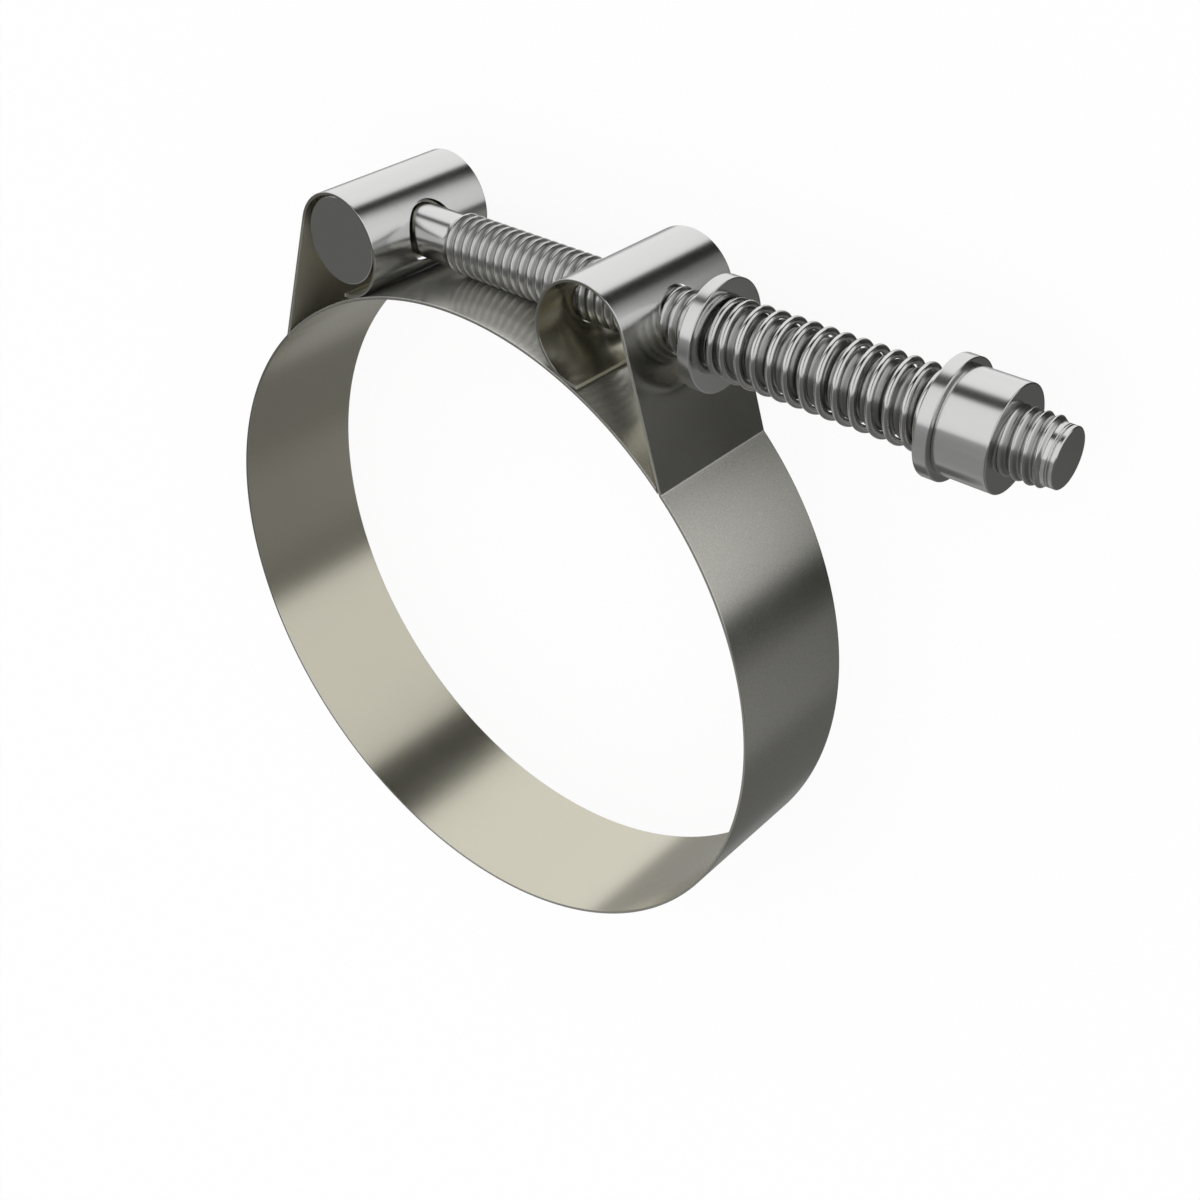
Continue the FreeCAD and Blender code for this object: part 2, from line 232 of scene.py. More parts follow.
@dataclass
class StripPath:
    """Outer face of the right half of the band in the plane across the bore, as arcs and straight runs.

    The way along it starts at the back of the ring, below the bore, and ends at the cut end of the loop.
    """

    ring_radius: float = RING_RADIUS
    fold_angle: float = math.radians(45.7)
    bend_radius: float = 0.45
    loop_radius: float = 6.28
    loop_drop: float = 0.347
    loop_lap: float = math.radians(19.0)
    seat_gap: float = 0.05
    loop_height: float = 46.7
    leg_wall_reach: float = 9.0
    bridge_wall_reach: float = 4.0
    tries: int = 4001

    def __post_init__(self) -> None:
        """Works out the centres and angles of the runs."""
        reach = self.ring_radius + self.seat_gap + self.loop_drop + self.loop_radius
        across = math.sqrt(reach * reach - self.loop_height * self.loop_height)
        self.centre = np.array([across, self.loop_height])
        outward = math.atan2(self.loop_height, across)
        self.low_centre = self.centre - self.loop_drop * directions(outward)
        fold = self.ring_radius * directions(self.fold_angle)
        to_centre = self.centre - fold
        lean = math.asin(self.loop_radius / np.linalg.norm(to_centre))
        heading = math.atan2(to_centre[1], to_centre[0]) - lean
        self.leg_angle = heading - math.pi / 2.0
        self.side_angle = outward + math.pi / 2.0
        self.end_angle = outward + math.pi + self.loop_lap
        leg_normal = directions(self.leg_angle)
        leg_heading = directions(heading)
        lift = float(self.centre @ leg_normal) + self.loop_radius + self.bend_radius
        far = self.ring_radius + self.bend_radius
        self.bend_centre = lift * leg_normal + math.sqrt(far * far - lift * lift) * leg_heading
        self.bend_angle = math.atan2(self.bend_centre[1], self.bend_centre[0])
        leg_length = float((self.centre - self.bend_centre) @ leg_heading)
        self.lengths = (
            self.ring_radius * (self.bend_angle + math.pi / 2.0),
            self.bend_radius * (self.bend_angle - self.leg_angle),
            leg_length,
            self.loop_radius * (self.side_angle - self.leg_angle),
            self.loop_drop,
            self.loop_radius * (self.end_angle - self.side_angle),
        )
        self.joints = np.concatenate([[0.0], np.cumsum(self.lengths)])
        self.leg_heading = leg_heading

    def at(self, way: np.ndarray) -> tuple[np.ndarray, np.ndarray]:
        """Place on the outer face and outward normal at a way along the strip.

        On an arc the normal turns evenly with the way, and the place is the arc's centre plus or minus the
        radius times the normal. On a straight run the normal stays. A negative way is the left half, which is
        the mirror image.

        Args:
            way: distances along the outer face from the back of the ring, in millimetres.

        Returns:
            Places and normals, each with two numbers per way.
        """
        far = np.abs(way)
        start = self.joints
        ring_angle = -math.pi / 2.0 + far / self.ring_radius
        bend_angle = self.bend_angle - (far - start[1]) / self.bend_radius
        upper_angle = self.leg_angle + (far - start[3]) / self.loop_radius
        lower_angle = self.side_angle + (far - start[5]) / self.loop_radius
        still = np.ones_like(far)
        angle = np.select(
            [far < start[1], far < start[2], far < start[3], far < start[4], far < start[5]],
            [ring_angle, bend_angle, self.leg_angle * still, upper_angle, self.side_angle * still],
            lower_angle,
        )
        normal = directions(angle)
        leg_start = self.bend_centre - self.bend_radius * directions(self.leg_angle)
        drop = directions(self.side_angle + math.pi / 2.0)
        side = self.centre + self.loop_radius * directions(self.side_angle)
        places = [
            self.ring_radius * normal,
            self.bend_centre - self.bend_radius * normal,
            leg_start + (far - start[2])[..., None] * self.leg_heading,
            self.centre + self.loop_radius * normal,
            side + (far - start[4])[..., None] * drop,
        ]
        within = [(far < start[number])[..., None] for number in range(1, 6)]
        place = np.select(within, places, self.low_centre + self.loop_radius * normal)
        flip = np.where(way < 0.0, -1.0, 1.0)
        mirror = np.stack([flip, np.ones_like(flip)], axis=-1)
        return place * mirror, normal * mirror

    def way_at_height(self, height: float, wall: Wall) -> float:
        """Way along the strip where a wall of the loop crosses a height, the nearest of many tries.

        Args:
            height: the height over the bore's axis.
            wall: the wall.

        Returns:
            The way.
        """
        start, end = self.joints[2], self.joints[3] + self.leg_wall_reach
        if wall is Wall.BRIDGE_SIDE:
            start, end = self.joints[4] - self.bridge_wall_reach, self.joints[6]
        ways = np.linspace(start, end, self.tries)
        heights = self.at(ways)[0][:, 1]
        return float(ways[np.argmin(np.abs(heights - height))])


@dataclass
class Strip:
    """Section of the strip and the rows of its mesh."""

    width: float = 19.05
    thickness: float = 0.38
    edge_radius: float = 0.06
    corner_steps: int = 3
    lines: int = 56
    edge_pair: tuple[float, float] = (0.05, 0.15)

    def levels(self) -> np.ndarray:
        """Heights of the mesh lines on the flat of the strip.

        Returns:
            Even heights, with a close pair at each edge.
        """
        low = self.edge_radius
        high = self.width - self.edge_radius
        even = np.linspace(low, high, self.lines)
        near = low + np.array(self.edge_pair)
        return np.unique(np.round(np.concatenate([even, near, self.width - near]), 6))

    def section(self) -> tuple[np.ndarray, np.ndarray]:
        """Closed loop round the section: depth below the outer face and height along the bore.

        It goes up the outer face, round the corner, across the edge, down the inner face and back.

        Returns:
            Depths and heights, each with one number per point of the section.
        """
        levels = self.levels()
        turns = np.linspace(0.0, math.pi / 2.0, self.corner_steps + 1)[1:]
        depth_in, side_in = rounded_corner(self.edge_radius, turns)
        top = self.width
        full = self.thickness
        inner_face = np.full_like(levels[:-1], full)
        depth = [np.zeros_like(levels), depth_in, full - depth_in[::-1][1:], [full], inner_face]
        height = [levels, top - side_in, top - side_in[::-1][1:], [levels[-1]], levels[:-1][::-1]]
        depth += [full - depth_in, depth_in[::-1][1:]]
        height += [side_in, side_in[::-1][1:]]
        return np.concatenate(depth), np.concatenate(height)


@dataclass
class BoltHole:
    """A hole in a wall of a loop, and the window of the mesh that it is set into."""

    centre_way: float
    side: float
    reach: float = 5.2
    half_height: float = 4.9
    radius: float = 3.685
    rings: int = 8
    crowding: float = 1.3


@dataclass
class BandMesh:
    """The band: one strip with a loop at each end, and holes in the loops for the bolt."""

    path: StripPath = field(default_factory=StripPath)
    strip: Strip = field(default_factory=Strip)
    ring_step: float = 0.8
    loop_step: float = 0.27
    bend_rows: int = 7
    satin_fade: float = 2.0
    nearest_rim: float = 1.0
    farthest_rim: float = 5.0
    halvings: int = 40

    def holes(self) -> list[BoltHole]:
        """The bolt's holes.

        Returns:
            The two holes of the right loop and the one in the left loop's wall over the bridge.
        """
        leg = self.path.way_at_height(BOLT_HEIGHT, Wall.LEG_SIDE)
        inner = self.path.way_at_height(BOLT_HEIGHT, Wall.BRIDGE_SIDE)
        return [BoltHole(leg, 1.0), BoltHole(inner, 1.0), BoltHole(inner, -1.0)]

    def stations(self) -> np.ndarray:
        """Ways along the strip where the mesh has its rows.

        Returns:
            The ways, from the left cut end to the right one.
        """
        joints = self.path.joints
        ring = np.linspace(0.0, joints[1], round(joints[1] / self.ring_step) + 1)
        bend = np.linspace(joints[1], joints[2], self.bend_rows)[1:]
        rest = [
            np.linspace(start, end, max(2, round((end - start) / self.loop_step)) + 1)[1:]
            for start, end in zip(joints[2:-1], joints[3:])
        ]
        right = np.concatenate([ring, bend, *rest])
        return np.concatenate([-right[::-1], right[1:]])

    def surface(self, way: np.ndarray, height: np.ndarray, depth: np.ndarray | float) -> np.ndarray:
        """Points of the strip: place on the outer face less depth times the normal, and the height as Z.

        Args:
            way: ways along the strip.
            height: heights along the bore.
            depth: depths below the outer face.

        Returns:
            The points, with X, Y, Z on the last axis.
        """
        place, normal = self.path.at(way)
        across = place - np.asarray(depth)[..., None] * normal
        return np.concatenate([across, np.broadcast_to(height, way.shape)[..., None]], axis=-1)

    def place_points(
        self, shell: Shell, way: np.ndarray, height: np.ndarray, depth: np.ndarray | float
    ) -> np.ndarray:
        """Adds points of the strip to a shell, marked for its finish.

        The mark "inner" is the share of the depth. The mark "satin" is one on the ring and the legs, and
        falls to nothing where the loop's curve begins. The mark "cut" is one at the strip's two cut ends,
        "leg" on the inner faces of the legs, and "hollow" on those of the loops, where it paints shade.

        Args:
            shell: where the points go.
            way: ways along the strip.
            height: heights along the bore.
            depth: depths below the outer face.

        Returns:
            The numbers of the vertices.
        """
        loop_start = self.path.joints[3]
        satin = 1.0 - smooth_step(loop_start - self.satin_fade, loop_start + self.satin_fade, np.abs(way))
        inner = np.broadcast_to(depth, way.shape) / self.strip.thickness
        cut = np.where(np.abs(way) > self.path.joints[6] - WELD, 1.0, 0.0)
        past_fold = smooth_step(self.path.joints[1], self.path.joints[2], np.abs(way))
        # hollow: where the loops' inner faces get painted shade
        return shell.add_points(
            self.surface(way, height, depth), inner=inner, satin=satin, cut=cut,
            leg=inner * satin * past_fold, hollow=inner * (1.0 - satin),
        )

    def hole_reach(self, hole: BoltHole, turn: np.ndarray, depth: float) -> np.ndarray:
        """Distance from the hole's centre to its rim, measured in the unrolled strip.

        Along each direction the rim is where the point of the strip is one hole radius from the bolt's axis,
        seen along the axis. It is found by halving the interval, for all directions at once.

        Args:
            hole: the hole.
            turn: directions in the unrolled strip, in radians, along the strip at 0 and along the bore at 90.
            depth: depth of the face below the outer one.

        Returns:
            One distance for each direction.
        """
        low = np.full_like(turn, self.nearest_rim)
        high = np.full_like(turn, self.farthest_rim)
        for _ in range(self.halvings):
            middle = (low + high) / 2.0
            way = hole.side * (hole.centre_way + middle * np.cos(turn))
            points = self.surface(way, BOLT_LEVEL + middle * np.sin(turn), depth)
            off = np.hypot(points[..., 1] - BOLT_HEIGHT, points[..., 2] - BOLT_LEVEL)
            outside = off > hole.radius
            high = np.where(outside, middle, high)
            low = np.where(outside, low, middle)
        return (low + high) / 2.0

    def cut_hole(self, shell: Shell, hole: BoltHole, ways: np.ndarray, levels: np.ndarray) -> np.ndarray:
        """Fills the window round a hole on both faces, and lines the hole between them.

        The window's border has the same points as the strip's own mesh. From each of them the patch runs
        straight to the rim of the hole in the unrolled strip.

        Args:
            shell: where the faces go.
            hole: the hole.
            ways: rows of the strip's mesh.
            levels: heights of its lines.

        Returns:
            True for each cell of the strip's mesh that the window takes the place of.
        """
        rows = np.flatnonzero(np.abs(hole.side * ways - hole.centre_way) <= hole.reach)
        columns = np.flatnonzero(np.abs(levels - BOLT_LEVEL) <= hole.half_height)
        row_ways = hole.side * ways[rows] - hole.centre_way
        column_levels = levels[columns] - BOLT_LEVEL
        along = np.concatenate([
            row_ways[:-1],
            np.full(len(columns) - 1, row_ways[-1]),
            row_ways[::-1][:-1],
            np.full(len(columns) - 1, row_ways[0]),
        ])
        up = np.concatenate([
            np.full(len(rows) - 1, column_levels[0]),
            column_levels[:-1],
            np.full(len(rows) - 1, column_levels[-1]),
            column_levels[::-1][:-1],
        ])
        turn = np.arctan2(up, along)
        border = np.hypot(along, up)
        share = np.linspace(0.0, 1.0, hole.rings + 1)[:, None] ** hole.crowding
        rims = []
        for depth in (0.0, self.strip.thickness):
            rim = self.hole_reach(hole, turn, depth)
            distance = rim + share * (border - rim)
            way = hole.side * (hole.centre_way + distance * np.cos(turn))
            numbers = self.place_points(shell, way, BOLT_LEVEL + distance * np.sin(turn), depth)
            shell.add_tube(numbers)
            rims.append(numbers[0])
        shell.add_tube(np.stack(rims))
        taken = np.zeros((len(ways) - 1, len(levels) - 1), bool)
        taken[rows[0]:rows[-1], columns[0]:columns[-1]] = True
        return taken

    def build(self, name: str) -> bpy.types.Object:
        """Sweeps the strip's section along its path, with a window at each hole.

        Args:
            name: name of the piece.

        Returns:
            The band.
        """
        shell = Shell()
        ways = self.stations()
        levels = self.strip.levels()
        depth, height = self.strip.section()
        taken = np.zeros((len(ways) - 1, len(levels) - 1), bool)
        for hole in self.holes():
            taken |= self.cut_hole(shell, hole, ways, levels)
        grid_way = np.repeat(ways[:, None], len(depth), axis=1)
        grid_depth = np.broadcast_to(depth, grid_way.shape)
        numbers = self.place_points(shell, grid_way, height, grid_depth)
        keep = np.ones((len(ways) - 1, len(depth)), bool)
        flat = len(levels) - 1
        keep[:, :flat] = ~taken
        inner_start = int(np.flatnonzero(depth == self.strip.thickness)[0])
        keep[:, inner_start:inner_start + flat] = ~taken[:, ::-1]
        shell.add_tube(numbers, keep)
        shell.add_ends(numbers)
        return shell.build(name, sharp_degrees=35.0)


@dataclass
class BridgeMesh:
    """The strip that closes the ring between the legs, with its ends cut along the legs' inner faces."""

    right_outer: float = math.radians(47.1506)
    right_inner: float = math.radians(46.2437)
    left_outer: float = math.radians(133.2532)
    left_inner: float = math.radians(134.1757)
    strip: Strip = field(default_factory=lambda: Strip(lines=12))
    rows: int = 90

    def build(self, name: str) -> bpy.types.Object:
        """Sweeps the section along the ring.

        The angle runs evenly between the ends, which lean from the outer corner's angle to the inner one's
        with the depth, and the radius is the ring's less the depth.

        Args:
            name: name of the piece.

        Returns:
            The bridge.
        """
        shell = Shell()
        depth, height = self.strip.section()
        share = np.linspace(0.0, 1.0, self.rows)[:, None]
        below = depth / self.strip.thickness
        start = self.right_outer + (self.right_inner - self.right_outer) * below
        end = self.left_outer + (self.left_inner - self.left_outer) * below
        angle = start + (end - start) * share
        across = (RING_RADIUS - depth)[..., None] * directions(angle)
        up = np.broadcast_to(height, angle.shape)[..., None]
        points = np.concatenate([across, up], axis=-1)
        inner = np.broadcast_to(below, angle.shape)
        still = np.ones_like(angle)
        none = np.zeros_like(angle)
        numbers = shell.add_points(points, inner=inner, satin=still, cut=none, leg=1.0 - inner, hollow=none)
        shell.add_tube(numbers)
        shell.add_ends(numbers)
        return shell.build(name, sharp_degrees=35.0)


# Parts on the bolt's axis


def turned(
    name: str, profile: np.ndarray, foot: tuple[float, float, float], along_x: bool, sharp_degrees: float
) -> bpy.types.Object:
    """Makes a turned part: each profile point goes round the axis at its radius, by cosine and sine.

    Args:
        name: name of the piece.
        profile: places along the axis and radii, one row each.
        foot: the point of the axis that the places are counted from.
        along_x: True for an axis along X, False for one along Z.
        sharp_degrees: edges with a larger angle than this stay crisp.

    Returns:
        The piece.
    """
    turn = np.linspace(0.0, 2.0 * math.pi, SIDES + 1)[:, None]
    place = np.broadcast_to(profile[:, 0], (SIDES + 1, len(profile)))
    first = profile[:, 1] * np.cos(turn)
    second = profile[:, 1] * np.sin(turn)
    order = [place, first, second] if along_x else [first, second, place]
    shell = Shell()
    shell.add_quads(shell.add_points(np.stack(order, axis=-1) + np.array(foot)))
    return shell.build(name, sharp_degrees)


def rims(length: float, radius: float, edge: float) -> tuple[np.ndarray, np.ndarray]:
    """The two rounded outer rims of a turned part.

    Args:
        length: length along the axis.
        radius: outer radius.
        edge: radius of the rounded rims.

    Returns:
        The near rim and the far one, as places along the axis and radii.
    """
    inset_face, inset_rim = rounded_corner(edge, np.linspace(0.0, math.pi / 2.0, RIM_STEPS + 1))
    near = np.stack([inset_face, radius - inset_rim], axis=-1)
    far = np.stack([length - inset_face, radius - inset_rim], axis=-1)[::-1]
    return near, far


def rounded_bar(length: float, radius: float, edge: float, support: float) -> np.ndarray:
    """Profile of a solid bar with rounded rims, from the middle of one end face to that of the other.

    Args:
        length: length along the axis.
        radius: the bar's radius.
        edge: radius of the rounded rims.
        support: place of the mesh line that keeps a round crisp, from the end face.

    Returns:
        Places along the axis and radii.
    """
    near, far = rims(length, radius, edge)
    start = np.array([[0.0, 0.0], [0.0, radius - 2.0 * edge]])
    barrel = np.array([[support, radius], [length - support, radius]])
    end = start[::-1] + np.array([length, 0.0])
    return np.concatenate([start, near, barrel, far, end])


@dataclass
class CrossBar:
    """The bolt's cross bar, a turned bar along the bore inside the left loop."""

    place: float = -18.9
    radius: float = 5.4
    low: float = 0.5
    high: float = 18.55
    edge: float = 0.15
    support: float = 0.4

    def build(self, name: str) -> bpy.types.Object:
        """Turns the bar about its own axis."""
        profile = rounded_bar(self.high - self.low, self.radius, self.edge, self.support)
        return turned(name, profile, (self.place, BOLT_HEIGHT, self.low), False, sharp_degrees=30.0)


@dataclass
class ScrewThread:
    """The right-hand thread of the bolt, and of the tap that cuts the same thread into the nut.

    The surface is a grid whose lines follow the thread. At a turn and a phase of the thread, the place along
    the bolt is the turn plus the phase, times the pitch, and the radius is the core's plus the height of the
    thread that the phase gives, so that crests and roots are single lines of the mesh.
    """

    origin: float = -8.188
    core: float = 3.175
    height: float = 0.45
    root: float = 0.28
    pitch: float = 1.27
    sides: int = 72
    spare_turns: int = 2

    def profile(self) -> tuple[np.ndarray, np.ndarray]:
        """A rounded thread form, mirrored about its root.

        Returns:
            Phases from crest to crest, and the share of the full height at each.
        """
        phase = np.array([0.0, 0.04, 0.07, 0.15, 0.23, 0.31, 0.39, 0.43, 0.5])
        form = np.array([1.0, 1.0, 0.95, 0.7275, 0.505, 0.2825, 0.06, 0.0, 0.0])
        share = self.root + (1.0 - self.root) * form
        return np.concatenate([phase, 1.0 - phase[-2:0:-1]]), np.concatenate([share, share[-2:0:-1]])

    def rod(
        self, name: str, low: float, high: float, swell: float = 0.0, ends: "PlainEnds | None" = None
    ) -> bpy.types.Object:
        """A closed threaded rod between two square ends.

        Args:
            name: name of the piece.
            low: place of the first end.
            high: place of the second end.
            swell: radius added all over.
            ends: where the rod is plain, or None for a thread right to the ends.

        Returns:
            The rod.
        """
        shell = Shell()
        phase, share = self.profile()
        first = math.floor((low - self.origin) / self.pitch) - self.spare_turns
        last = math.ceil((high - self.origin) / self.pitch) + self.spare_turns
        along = (np.arange(first, last)[:, None] + phase).ravel()
        rise = np.tile(share, last - first)
        turn = np.linspace(0.0, 1.0, self.sides + 1)[:, None]
        place = self.origin + self.pitch * (along + turn)
        radius = self.core + swell + self.height * rise * (ends.fade(place) if ends else 1.0)
        angle = 2.0 * math.pi * turn
        points = [place, BOLT_HEIGHT + radius * np.cos(angle), BOLT_LEVEL + radius * np.sin(angle)]
        shell.add_quads(shell.add_points(np.stack(points, axis=-1)))
        return self.cut_square(shell.build(name, sharp_degrees=60.0), low, high)

    def cut_square(self, piece: bpy.types.Object, low: float, high: float) -> bpy.types.Object:
        """Cuts the threaded surface, which is too long, at both end planes and fills each cut.

        Args:
            piece: the open threaded surface.
            low: place of the first end.
            high: place of the second end.

        Returns:
            The same piece, closed.
        """
        made = bmesh.new()
        made.from_mesh(piece.data)
        for place, outward in ((low, -1.0), (high, 1.0)):
            everything = list(made.verts) + list(made.edges) + list(made.faces)
            cut = bmesh.ops.bisect_plane(
                made, geom=everything, plane_co=(place * MM, 0.0, 0.0), plane_no=(outward, 0.0, 0.0),
                clear_outer=True,
            )
            rim = [element for element in cut["geom_cut"] if isinstance(element, bmesh.types.BMEdge)]
            bmesh.ops.edgeloop_fill(made, edges=rim)
        bmesh.ops.dissolve_degenerate(made, edges=made.edges, dist=WELD)
        bmesh.ops.recalc_face_normals(made, faces=made.faces)
        made.to_mesh(piece.data)
        log.info("%s cut square: %d open edges", piece.name, open_edges(made))
        made.free()
        shade(piece.data, sharp_degrees=42.0)
        return piece


@dataclass(frozen=True)
class PlainEnds:
    """Where the bolt's thread begins and dies out."""

    thread_start: float = THREAD_START
    thread_end: float = 69.97
    start_run: float = 0.7
    end_run: float = 0.4

    def fade(self, place: np.ndarray) -> np.ndarray:
        """Share of the thread's height along the bolt: it grows at the start and dies out at the end."""
        grown = smooth_step(self.thread_start, self.thread_start + self.start_run, place)
        return grown * (1.0 - smooth_step(self.thread_end - self.end_run, self.thread_end, place))


@dataclass
class ThreadedShank:
    """The bolt's shank: plain where it leaves the cross bar, then threaded up to the bolt's plain end."""

    start: float = -17.0
    end: float = PLAIN_START
    clear_radius: float = 43.825
    clear_reach: float = 12.0
    clear_depth: float = 2.0
    clear_levels: tuple[float, float] = (0.5, 18.5)
    clear_steps: int = 97

    def build(self, name: str) -> bpy.types.Object:
        """Makes the rod, and hollows its underside with a round block that stands on the bridge.

        The block's top is an arc about the bore's axis, its radius times cosine and sine of the angle.

        Args:
            name: name of the piece.

        Returns:
            The shank.
        """
        rod = ScrewThread().rod(name, self.start, self.end, ends=PlainEnds())
        half = math.asin(self.clear_reach / self.clear_radius)
        angle = np.linspace(math.pi / 2.0 - half, math.pi / 2.0 + half, self.clear_steps)
        across, up = self.clear_radius * np.cos(angle), self.clear_radius * np.sin(angle)
        level = np.array(self.clear_levels)[:, None]
        shell = Shell()
        top = np.stack(np.broadcast_arrays(across, up, level), axis=-1)
        foot = np.stack(np.broadcast_arrays(across, up.min() - self.clear_depth, level), axis=-1)
        numbers = shell.add_points(np.concatenate([top, foot[:, ::-1]], axis=1))
        shell.add_tube(numbers)
        shell.add_ends(numbers)
        return take_out(rod, shell.build(name + "_hollow", sharp_degrees=30.0))


@dataclass
class BoltEnd:
    """The plain end of the bolt, with two fine grooves and a chamfer."""

    start: float = PLAIN_START
    end: float = 71.27
    radius: float = 3.175
    chamfer: float = 0.1
    grooves: tuple[tuple[float, float, float], ...] = ((70.45, 0.08, 0.06), (70.72, 0.11, 0.1))
    steps: int = 64

    def build(self, name: str) -> bpy.types.Object:
        """Turns the end about the bolt's axis. A groove is a middle place, half a width and a depth.

        Args:
            name: name of the piece.

        Returns:
            The end.
        """
        place = np.linspace(self.start, self.end - self.chamfer, self.steps)
        depth = np.zeros_like(place)
        for middle, half_width, deepest in self.grooves:
            depth += deepest * smooth_step(0.0, 1.0, 1.0 - np.abs(place - middle) / half_width)
        side = np.stack([place, self.radius - depth], axis=-1)
        face = [[self.end, self.radius - self.chamfer], [self.end, 0.0]]
        profile = np.concatenate([[[self.start, 0.0]], side, face])
        return turned(name, profile, (0.0, BOLT_HEIGHT, BOLT_LEVEL), True, sharp_degrees=40.0)


@dataclass
class Washer:
    """A thick flat washer with rounded outer rims and a straight bore."""

    place: float
    length: float
    radius: float = 6.42
    bore: float = 3.705
    edge: float = 0.1
    support: float = 0.12

    def build(self, name: str) -> bpy.types.Object:
        """Turns the closed ring profile about the bolt's axis.

        Args:
            name: name of the piece.

        Returns:
            The washer.
        """
        near, far = rims(self.length, self.radius, self.edge)
        inner, outer = self.bore + self.support, self.radius - self.edge - self.support
        face = np.array([[0.0, self.bore], [0.0, inner], [0.0, outer]])
        line = self.edge + self.support
        barrel = np.array([[line, self.radius], [self.length - line, self.radius]])
        far_face = face[::-1] + np.array([self.length, 0.0])
        profile = np.concatenate([face, near, barrel, far, far_face, face[:1]])
        return turned(name, profile, (self.place, BOLT_HEIGHT, BOLT_LEVEL), True, sharp_degrees=40.0)


@dataclass
class RoundNut:
    """The round lock nut, tapped with the bolt's thread."""

    place: float
    length: float
    radius: float = 5.65
    edge: float = 0.12
    support: float = 0.3
    tap_play: float = 0.05
    tap_overrun: float = 0.6

    def build(self, name: str) -> bpy.types.Object:
        """Turns a solid round body, then takes the swollen thread out of it.

        Args:
            name: name of the piece.

        Returns:
            The nut.
        """
        profile = rounded_bar(self.length, self.radius, self.edge, self.support)
        body = turned(name, profile, (self.place, BOLT_HEIGHT, BOLT_LEVEL), True, sharp_degrees=30.0)
        start, end = self.place - self.tap_overrun, self.place + self.length + self.tap_overrun
        return take_out(body, ScrewThread().rod(name + "_tap", start, end, self.tap_play))


def take_out(piece: bpy.types.Object, tool: bpy.types.Object) -> bpy.types.Object:
    """Cuts one closed piece out of another and removes the tool.

    Args:
        piece: what is cut.
        tool: what it is cut with.

    Returns:
        The piece with the cut in its mesh.
    """
    cut = piece.modifiers.new("cut", "BOOLEAN")
    cut.operation = "DIFFERENCE"
    cut.solver = "EXACT"
    cut.object = tool
    bpy.context.view_layer.update()
    seen = piece.evaluated_get(bpy.context.evaluated_depsgraph_get())
    mesh = bpy.data.meshes.new_from_object(seen)
    piece.modifiers.clear()
    piece.data = mesh
    bpy.data.objects.remove(tool)
    made = bmesh.new()
    made.from_mesh(mesh)
    log.info("%s after the cut: %d open edges", piece.name, open_edges(made))
    made.free()
    shade(mesh, sharp_degrees=35.0)
    return piece


@dataclass
class CoilSpring:
    """The compression spring: open coils of round wire with a closed turn at each end."""

    first_coil: float = 31.77
    wire: float = 0.87
    coil_radius: float = 4.08
    open_pitch: float = 2.0
    closed_pitch: float = 0.85
    open_turns: float = 12.13
    closed_turns: float = 1.0
    start_angle: float = math.radians(237.6)
    end_edge: float = 0.08
    steps_per_turn: int = 60
    wire_sides: int = 18

    def advance(self, turn: np.ndarray) -> np.ndarray:
        """Way along the bolt: slow in the closed turns at both ends, fast in the open ones.

        Args:
            turn: numbers of turns from the first end.

        Returns:
            One way for each.
        """
        opened = turn - self.closed_turns
        slow = np.minimum(turn, self.closed_turns) + np.maximum(opened - self.open_turns, 0.0)
        fast = np.clip(opened, 0.0, self.open_turns)
        return self.closed_pitch * slow + self.open_pitch * fast

    def build(self, name: str) -> bpy.types.Object:
        """Carries a circle along the helix.

        The circle's two axes are the outward direction from the bolt and the cross product of that with the
        wire's heading. Both ends are closed with a flat face whose rim is slightly bevelled.

        Args:
            name: name of the piece.

        Returns:
            The spring.
        """
        turns = 2.0 * self.closed_turns + self.open_turns
        turn = np.linspace(0.0, turns, round(turns * self.steps_per_turn) + 1)
        angle = self.start_angle + 2.0 * math.pi * turn
        ahead = np.array([1.0, 0.0, 0.0])
        outward = np.stack([np.zeros_like(angle), np.cos(angle), np.sin(angle)], axis=-1)
        around = np.stack([np.zeros_like(angle), -np.sin(angle), np.cos(angle)], axis=-1)
        first = np.array([self.first_coil, BOLT_HEIGHT, BOLT_LEVEL])
        middle = first + self.advance(turn)[:, None] * ahead + self.coil_radius * outward
        rise = np.gradient(self.advance(turn), turn) / (2.0 * math.pi * self.coil_radius)
        heading = around + rise[:, None] * ahead
        heading /= np.linalg.norm(heading, axis=1, keepdims=True)
        sideways = np.cross(heading, outward)
        round_turn = np.linspace(0.0, 2.0 * math.pi, self.wire_sides + 1)[:-1]
        offset = (
            np.cos(round_turn)[None, :, None] * outward[:, None, :]
            + np.sin(round_turn)[None, :, None] * sideways[:, None, :]
        )
        inward = np.zeros_like(turn)
        inward[0], inward[-1] = self.end_edge, -self.end_edge
        tube = (middle + inward[:, None] * heading)[:, None, :] + self.wire / 2.0 * offset
        near, far = (middle[end] + (self.wire / 2.0 - self.end_edge) * offset[end] for end in (0, -1))
        shell = Shell()
        numbers = shell.add_points(np.concatenate([near[None], tube, far[None]]))
        shell.add_tube(numbers)
        shell.add_fan(numbers[0], middle[0])
        shell.add_fan(numbers[-1], middle[-1])
        return shell.build(name, sharp_degrees=35.0)


# Finishes


